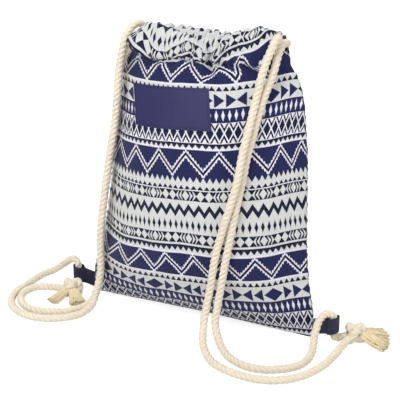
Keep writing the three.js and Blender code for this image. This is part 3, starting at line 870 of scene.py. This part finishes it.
def dents(side, s, points, rise, below):
    """Soft dents over the body but not round the label, and puckers along the side seams."""
    height = points[..., 2]
    soft = 1.1 * np.sin(height / 31 + 4 * s + side) * np.sin(6.9 * s + height / 57)
    soft = soft + 0.7 * np.sin(height / 13 + 9 * s) * np.sin(7 * s - height / 40)
    if side < 0:
        away = np.hypot((points[..., 0] - LABEL_CENTRE[0]) / 62, (height - LABEL_CENTRE[1]) / 38)
        soft = soft * smooth_step(0.9, 1.5, away)
    soft = soft * smooth_step(0, 30, height) * smooth_step(0, 40, below) * (1 - np.abs(s) ** 6)
    pucker = smooth_step(0.88, 1, np.abs(s)) * smooth_step(10, 40, height) * smooth_step(-20, 10, below)
    return soft + 0.5 * pucker * np.sin(rise / 2.2 + np.sin(rise / 9) * 2)


def zigzag_count(columns, levels_up):
    """The count of big zigzags from the left, at each column and level."""
    zig = []
    for level in levels_up:
        count = [np.interp(level, ZIG_LEVELS, at) for at in zip(*ZIG_AT)]
        beyond = [2 * count[0] - count[1], *count, 2 * count[-1] - count[-2]]
        zig.append(between(beyond, (columns + 1) * 4 + 1))
    return np.array(zig)


def panel_piece(name, node, side):
    columns = np.linspace(-1, 1, CLOTH_COLUMNS + 1)
    levels = np.concatenate([np.linspace(0, LAST, 400), np.linspace(LAST, LAST + 2, 240)[1:]])
    climb = np.linalg.norm(np.diff(smooth_cloth(side, columns[None, :], levels[:, None]), axis=0), axis=-1)
    length = np.vstack([np.zeros(len(columns)), np.cumsum(climb, 0)])
    rise = np.linspace(0, 1, CLOTH_ROWS + 1)[:, None] * length[-1]
    below = length[np.searchsorted(levels, LAST + 1)] - rise
    s = np.broadcast_to(columns, rise.shape)
    low_drop, body_drop, neck_drop = row_drops(side, columns)

    slide, fold = left_fold(side, s, rise - (FOLD_ROW + neck_drop))
    reached = rise + slide
    level = np.stack([np.interp(reached[:, j], length[:, j], levels) for j in range(len(columns))], 1)
    points = smooth_cloth(side, s, level)
    phase = 2 * math.pi * (6.2 * s + 0.45 * np.sin(4.3 * s + side)) + 0.9 * np.sin(below / 16 + 3 * s)
    relief = fold + gathers(side, s, below, phase) + dents(side, s, points, rise, below)
    relief = relief + (1 - CLOTH_THICKNESS / 2) * (1 - np.abs(s) ** 12)

    along_row = np.gradient(points, axis=1)
    along_column = smooth_cloth(side, s, level + 0.01) - smooth_cloth(side, s, np.maximum(level - 0.01, 0))
    hem = HEM_FILL * hump((points[..., 2] - NECK_Z) / 8) * (1 - np.abs(s) ** 6)
    closing = smooth_step(0.94, 1, np.abs(s)) * (SEAM_OFFSET - SEAM_GAP)
    points = points + unit(np.cross(along_row, along_column) * -side) * relief[..., None]
    points[..., 1] += side * (hem - closing)
    points[..., 2] = np.maximum(points[..., 2], GROUND_GAP)

    drop = low_drop + (body_drop - low_drop) * smooth_step(*LOW_TO_BODY, rise)
    drop = drop + (neck_drop - drop) * smooth_step(*BODY_TO_NECK, rise)
    up = rise - drop * (0.5 + 0.5 * smooth_step(10, 80, rise))
    across = zigzag_count(columns, level[:, len(columns) // 2]) * PERIOD
    across = across + 1.4 * np.sin(phase) * np.where(below > 0, hump(below / 10), 1)
    mesh_points, faces = layers(points, CLOTH_THICKNESS, -side)
    uvs = np.tile(np.stack([across.ravel(), up.ravel()], 1) * MM, (2, 1))
    made = mesh_piece(name, place(mesh_points), faces, COTTON, "cloth", uvs)
    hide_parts(node)
    return made


def layers(grid, thickness, outward):
    """Points and faces of a closed sheet round a grid, thickness thick, its first layer facing outward."""
    rows, columns = grid.shape[:2]
    cross = unit(np.cross(np.gradient(grid, axis=1), np.gradient(grid, axis=0)) * outward)
    half = cross * (np.asarray(thickness) / 2 * np.ones(grid.shape[:2]))[..., None]
    points = np.vstack([(grid + half).reshape(-1, 3), (grid - half).reshape(-1, 3)])
    index = np.arange(rows * columns).reshape(rows, columns)
    quads = np.stack([index[:-1, :-1], index[:-1, 1:], index[1:, 1:], index[1:, :-1]], -1).reshape(-1, 4)
    inner = quads[:, ::-1] + rows * columns
    loop = np.concatenate([index[0, :-1], index[:-1, -1], index[-1, :0:-1], index[:0:-1, 0]])
    following = np.roll(loop, -1)
    rim = np.stack([following, loop, loop + rows * columns, following + rows * columns], -1)
    faces = np.vstack([quads, inner, rim])
    return points, faces[:, ::-1] if outward < 0 else faces


# The cloth of the front and the back panel, in metres
front = panel_piece("woven_front", "front_panel", -1)
back_cloth = panel_piece("woven_back", "back_panel", 1)

# Label
LABEL_WIDTH = 117
LABEL_HEIGHT = 52
LABEL_THICKNESS = 1.2
LABEL_GAP = 0.3
LABEL_TILT = 0.071
LABEL_LEAN = 0.262
LABEL_SEAM = 3
LABEL_SEAM_DEPTH = 0.25


def front_at(x, z):
    """The front cloth's middle at a place given by x and z, without its folds."""
    low, high = np.full(np.shape(x), 2.0), np.full(np.shape(x), float(LAST))
    for _ in range(40):
        middle = (low + high) / 2
        under = WALL / 2 + station(middle, "z") < z
        low, high = np.where(under, middle, low), np.where(under, high, middle)
    return smooth_cloth(-1, (x - station(low, "sway")) / station(low, "half_width"), low)


def on_label(u, v, lift):
    """Places on the label, by millimetres from its middle, lifted off the cloth's middle."""
    x = LABEL_CENTRE[0] + u * math.cos(LABEL_TILT) - v * math.sin(LABEL_LEAN)
    z = LABEL_CENTRE[1] + v * math.cos(LABEL_LEAN) + u * math.sin(LABEL_TILT)
    here = front_at(x, z)
    out = unit(np.cross(front_at(x + 1, z) - here, front_at(x, z + 1) - here))
    return here + out * np.asarray(lift)[..., None]


def closer_at_edges(width, count):
    """Places across a width from its middle, closer together near its edges."""
    return np.sin(np.linspace(-0.5, 0.5, count) * math.pi) * width / 2


def label_piece():
    u, v = np.meshgrid(closer_at_edges(LABEL_WIDTH, 61), closer_at_edges(LABEL_HEIGHT, 37))
    edge = np.minimum(LABEL_WIDTH / 2 - np.abs(u), LABEL_HEIGHT / 2 - np.abs(v))
    lift = WALL / 2 + LABEL_THICKNESS / 2 + LABEL_GAP
    grid = on_label(u, v, lift - LABEL_SEAM_DEPTH * hump((edge - LABEL_SEAM) / 0.8))
    thickness = LABEL_THICKNESS * (0.35 + 0.65 * np.sqrt(np.clip(edge / 0.9, 0, 1)))
    points, faces = layers(grid, thickness, 1)
    made = mesh_piece("label", place(points), faces, LABEL_LEATHER)
    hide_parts("label_patch")


label_piece()

# Corner tabs: a strip folded in two round the rope
TAB_WIDTH = 22.5
TAB_Z = 5
TAB_SHEET = 1.6
TAB_START = WALL / 4 + 0.3
TAB_STEM = 12
TAB_EYE_LENGTH = 23
TAB_EYE_WIDTH = 13.5
TAB_RISE = {-1: 0.18, 1: 0.3}


def tab_line():
    """Half of the folded strip's middle line seen from above, from the seam to the end of the eye."""
    eye_start = TAB_START + TAB_STEM
    middle = TAB_EYE_WIDTH / 2 + TAB_SHEET / 2
    round_at = eye_start + TAB_EYE_LENGTH - (TAB_EYE_WIDTH / 2 + TAB_SHEET)
    bend = TAB_EYE_WIDTH * 0.8
    stem = np.column_stack([np.linspace(TAB_START, eye_start, 9)[:-1], np.full(8, TAB_SHEET / 2)])
    t = np.linspace(0, 1, 17)[:-1, None]
    first = np.array((eye_start, TAB_SHEET / 2))
    second = np.array((eye_start + bend, TAB_SHEET / 2 + 0.3))
    third = np.array((eye_start + bend * 0.6, middle))
    last = np.array((round_at, middle))
    widening = (1 - t) ** 3 * first + 3 * t * (1 - t) ** 2 * second + 3 * t**2 * (1 - t) * third + t**3 * last
    turn = np.linspace(math.pi / 2, 0, 13)
    cap = np.column_stack([round_at + middle * np.cos(turn), middle * np.sin(turn)])
    return np.vstack([stem, widening, cap])


def tab_piece(name, node, side):
    half = tab_line()
    line = np.vstack([half * (1, -1), half[-2::-1]])
    up = closer_at_edges(TAB_WIDTH, 21)
    x, y = (np.repeat(line[:, k : k + 1], len(up), 1) for k in (0, 1))
    z = TAB_Z + TAB_WIDTH / 2 + up[None, :] + TAB_RISE[side] * x
    grid = np.stack([side * (BOTTOM_HALF_WIDTH + x), y, z], -1)
    edge = TAB_WIDTH / 2 - np.abs(up)
    thickness = TAB_SHEET * (0.4 + 0.6 * np.sqrt(np.clip(edge / 1.1, 0, 1)))
    points, faces = layers(grid, np.repeat(thickness[None, :], len(line), 0), -side)
    made = mesh_piece(name, place(points), faces, TAB_LEATHER)
    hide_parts(node)


tab_piece("folded_tab_right", "tab_right", 1)
tab_piece("folded_tab_left", "tab_left", -1)


# Stitches: short raised threads along a line, made by Geometry Nodes
STITCH_SIZES = ("Spacing", "Length", "Thickness")


def stitch_group():
    group = bpy.data.node_groups.new("stitch_row", "GeometryNodeTree")
    for kind, names in {"Geometry": ["Geometry"], "Float": STITCH_SIZES, "Material": ["Thread"]}.items():
        for socket_name in names:
            group.interface.new_socket(socket_name, in_out="INPUT", socket_type="NodeSocket" + kind)
    group.interface.new_socket("Geometry", in_out="OUTPUT", socket_type="NodeSocketGeometry")

    node = partial(add_node, group)
    start = node("NodeGroupInput")
    by_length = {"mode": "LENGTH"}
    even = node("GeometryNodeResampleCurve", by_length, Curve=start["Geometry"], Length=start["Spacing"])
    ball = node("GeometryNodeMeshUVSphere", Segments=8, Rings=6, Radius=0.5)
    tangent = node("GeometryNodeInputTangent")
    aligned = node("FunctionNodeAlignRotationToVector", {"axis": "Z"}, Vector=tangent[0])
    size = node("ShaderNodeCombineXYZ", X=start["Thickness"], Y=start["Thickness"], Z=start["Length"])
    ways = {"Rotation": aligned[0], "Scale": size[0]}
    row = node("GeometryNodeInstanceOnPoints", Points=even[0], Instance=ball["Mesh"], **ways)
    real = node("GeometryNodeRealizeInstances", Geometry=row[0])
    painted = node("GeometryNodeSetMaterial", Geometry=real[0], Material=start["Thread"])
    node("NodeGroupOutput", Geometry=painted[0])
    return group


STITCH_ROW = stitch_group()
# One stitch's spacing, length and thickness, how deep the label's are sunk and how far the tabs' are raised
LABEL_STITCH = (2.9, 1.9, 0.84)
LABEL_STITCH_SUNK = 0.12
TAB_STITCH_RAISED = 0.1
TAB_STITCH = (3, 2.2, 0.7)
TAB_STITCH_OUT = 4.5
TAB_STITCH_MARGIN = 2.5


def stitches(name, line, thread_finish, sizes):
    """A row of stitches along a line in millimetres, baked to a mesh."""
    curve = bpy.data.curves.new(name + "_line", "CURVE")
    curve.dimensions = "3D"
    spline = curve.splines.new("POLY")
    spline.points.add(len(line) - 1)
    spline.points.foreach_set("co", np.column_stack([place(line), np.ones(len(line))]).ravel())
    source = add_object(name + "_line", curve)
    modifier = source.modifiers.new("stitches", "NODES")
    modifier.node_group = STITCH_ROW
    named = {item.name: item.identifier for item in STITCH_ROW.interface.items_tree if item.in_out == "INPUT"}
    for input_name, size in zip(STITCH_SIZES, sizes):
        modifier[named[input_name]] = size * MM
    modifier[named["Thread"]] = thread_finish
    bpy.context.view_layer.update()
    evaluated = source.evaluated_get(bpy.context.evaluated_depsgraph_get())
    data = bpy.data.meshes.new_from_object(evaluated)
    bpy.data.objects.remove(source)
    finished(name, data)


def label_edge():
    """A line round the label on its seam."""
    u, v = LABEL_WIDTH / 2 - LABEL_SEAM, LABEL_HEIGHT / 2 - LABEL_SEAM
    corners = np.array([(-u, v), (u, v), (u, -v), (-u, -v), (-u, v)])
    sides = [np.linspace(*ends) for ends in zip(corners, corners[1:], (60, 30, 60, 30))]
    around = np.vstack(sides)
    top = WALL / 2 + LABEL_THICKNESS + LABEL_GAP - LABEL_STITCH_SUNK
    return on_label(around[:, 0], around[:, 1], np.full(len(around), top))


stitches("label_stitches", label_edge(), LABEL_THREAD, LABEL_STITCH)
for side, name in ((1, "tab_stitches_right"), (-1, "tab_stitches_left")):
    up = np.linspace(TAB_STITCH_MARGIN, TAB_WIDTH - TAB_STITCH_MARGIN, 12)
    for face_side, suffix in ((-1, "_front"), (1, "_back")):
        x, y = side * (BOTTOM_HALF_WIDTH + TAB_STITCH_OUT), face_side * (TAB_SHEET + TAB_STITCH_RAISED)
        row = [(x, y, TAB_Z + TAB_RISE[side] * TAB_STITCH_OUT + z) for z in up]
        stitches(name + suffix, row, TAB_THREAD, TAB_STITCH)

# Floor, light and background
FLOOR_SIZE = 12
FLOOR_GREY = 0.9
FLOOR_GLOW = 1.7
GLOW_SHARE = 0.5
SKY_LIGHT = 0.42


def floor_finish():
    """Plain pale ground that also glows a little where the camera sees it, so that it meets the white."""
    material = bpy.data.materials.new("pale_floor")
    material.use_nodes = True
    tree = material.node_tree
    tree.nodes.clear()
    matt = add_node(tree, "ShaderNodeBsdfDiffuse", Color=(FLOOR_GREY, FLOOR_GREY, FLOOR_GREY, 1))
    glow = add_node(tree, "ShaderNodeEmission", Strength=FLOOR_GLOW)
    seen = Formula(tree, add_node(tree, "ShaderNodeLightPath")["Is Camera Ray"])
    mixed = tree.nodes.new("ShaderNodeMixShader")
    for slot, value in zip(mixed.inputs, (seen * GLOW_SHARE, matt[0], glow[0])):
        feed(tree, slot, value)
    add_node(tree, "ShaderNodeOutputMaterial", Surface=mixed.outputs[0])
    return material


floor_data = bpy.data.meshes.new("floor")
corners = [(x * FLOOR_SIZE / 2, y * FLOOR_SIZE / 2, 0) for x, y in ((-1, -1), (1, -1), (1, 1), (-1, 1))]
floor_data.from_pydata(corners, [], [(0, 1, 2, 3)])
floor_data.materials.append(floor_finish())
floor = add_object("floor", floor_data)

world = bpy.data.worlds.new("studio")
bpy.context.scene.world = world
world.use_nodes = True
sky = world.node_tree.nodes["Background"]
sky.inputs["Color"].default_value = (1, 1, 1, 1)
seen = Formula(world.node_tree, add_node(world.node_tree, "ShaderNodeLightPath")["Is Camera Ray"])
feed(world.node_tree, sky.inputs["Strength"], seen * (1 - SKY_LIGHT) + SKY_LIGHT)


def soft_light(name, azimuth, elevation, distance, size, power):
    data = bpy.data.lights.new(name, "AREA")
    data.size = size
    data.energy = power
    lamp = add_object(name, data)
    towards_lamp = direction(azimuth, elevation)
    lamp.location = aim + towards_lamp * distance
    lamp.rotation_mode = "QUATERNION"
    lamp.rotation_quaternion = towards_lamp.to_track_quat("Z", "Y")


soft_light("key", -10, 48, 1.7, 1.0, 15)
soft_light("fill", 75, 30, 2.0, 1.4, 8)
soft_light("rim", 200, 55, 1.9, 1.2, 7)
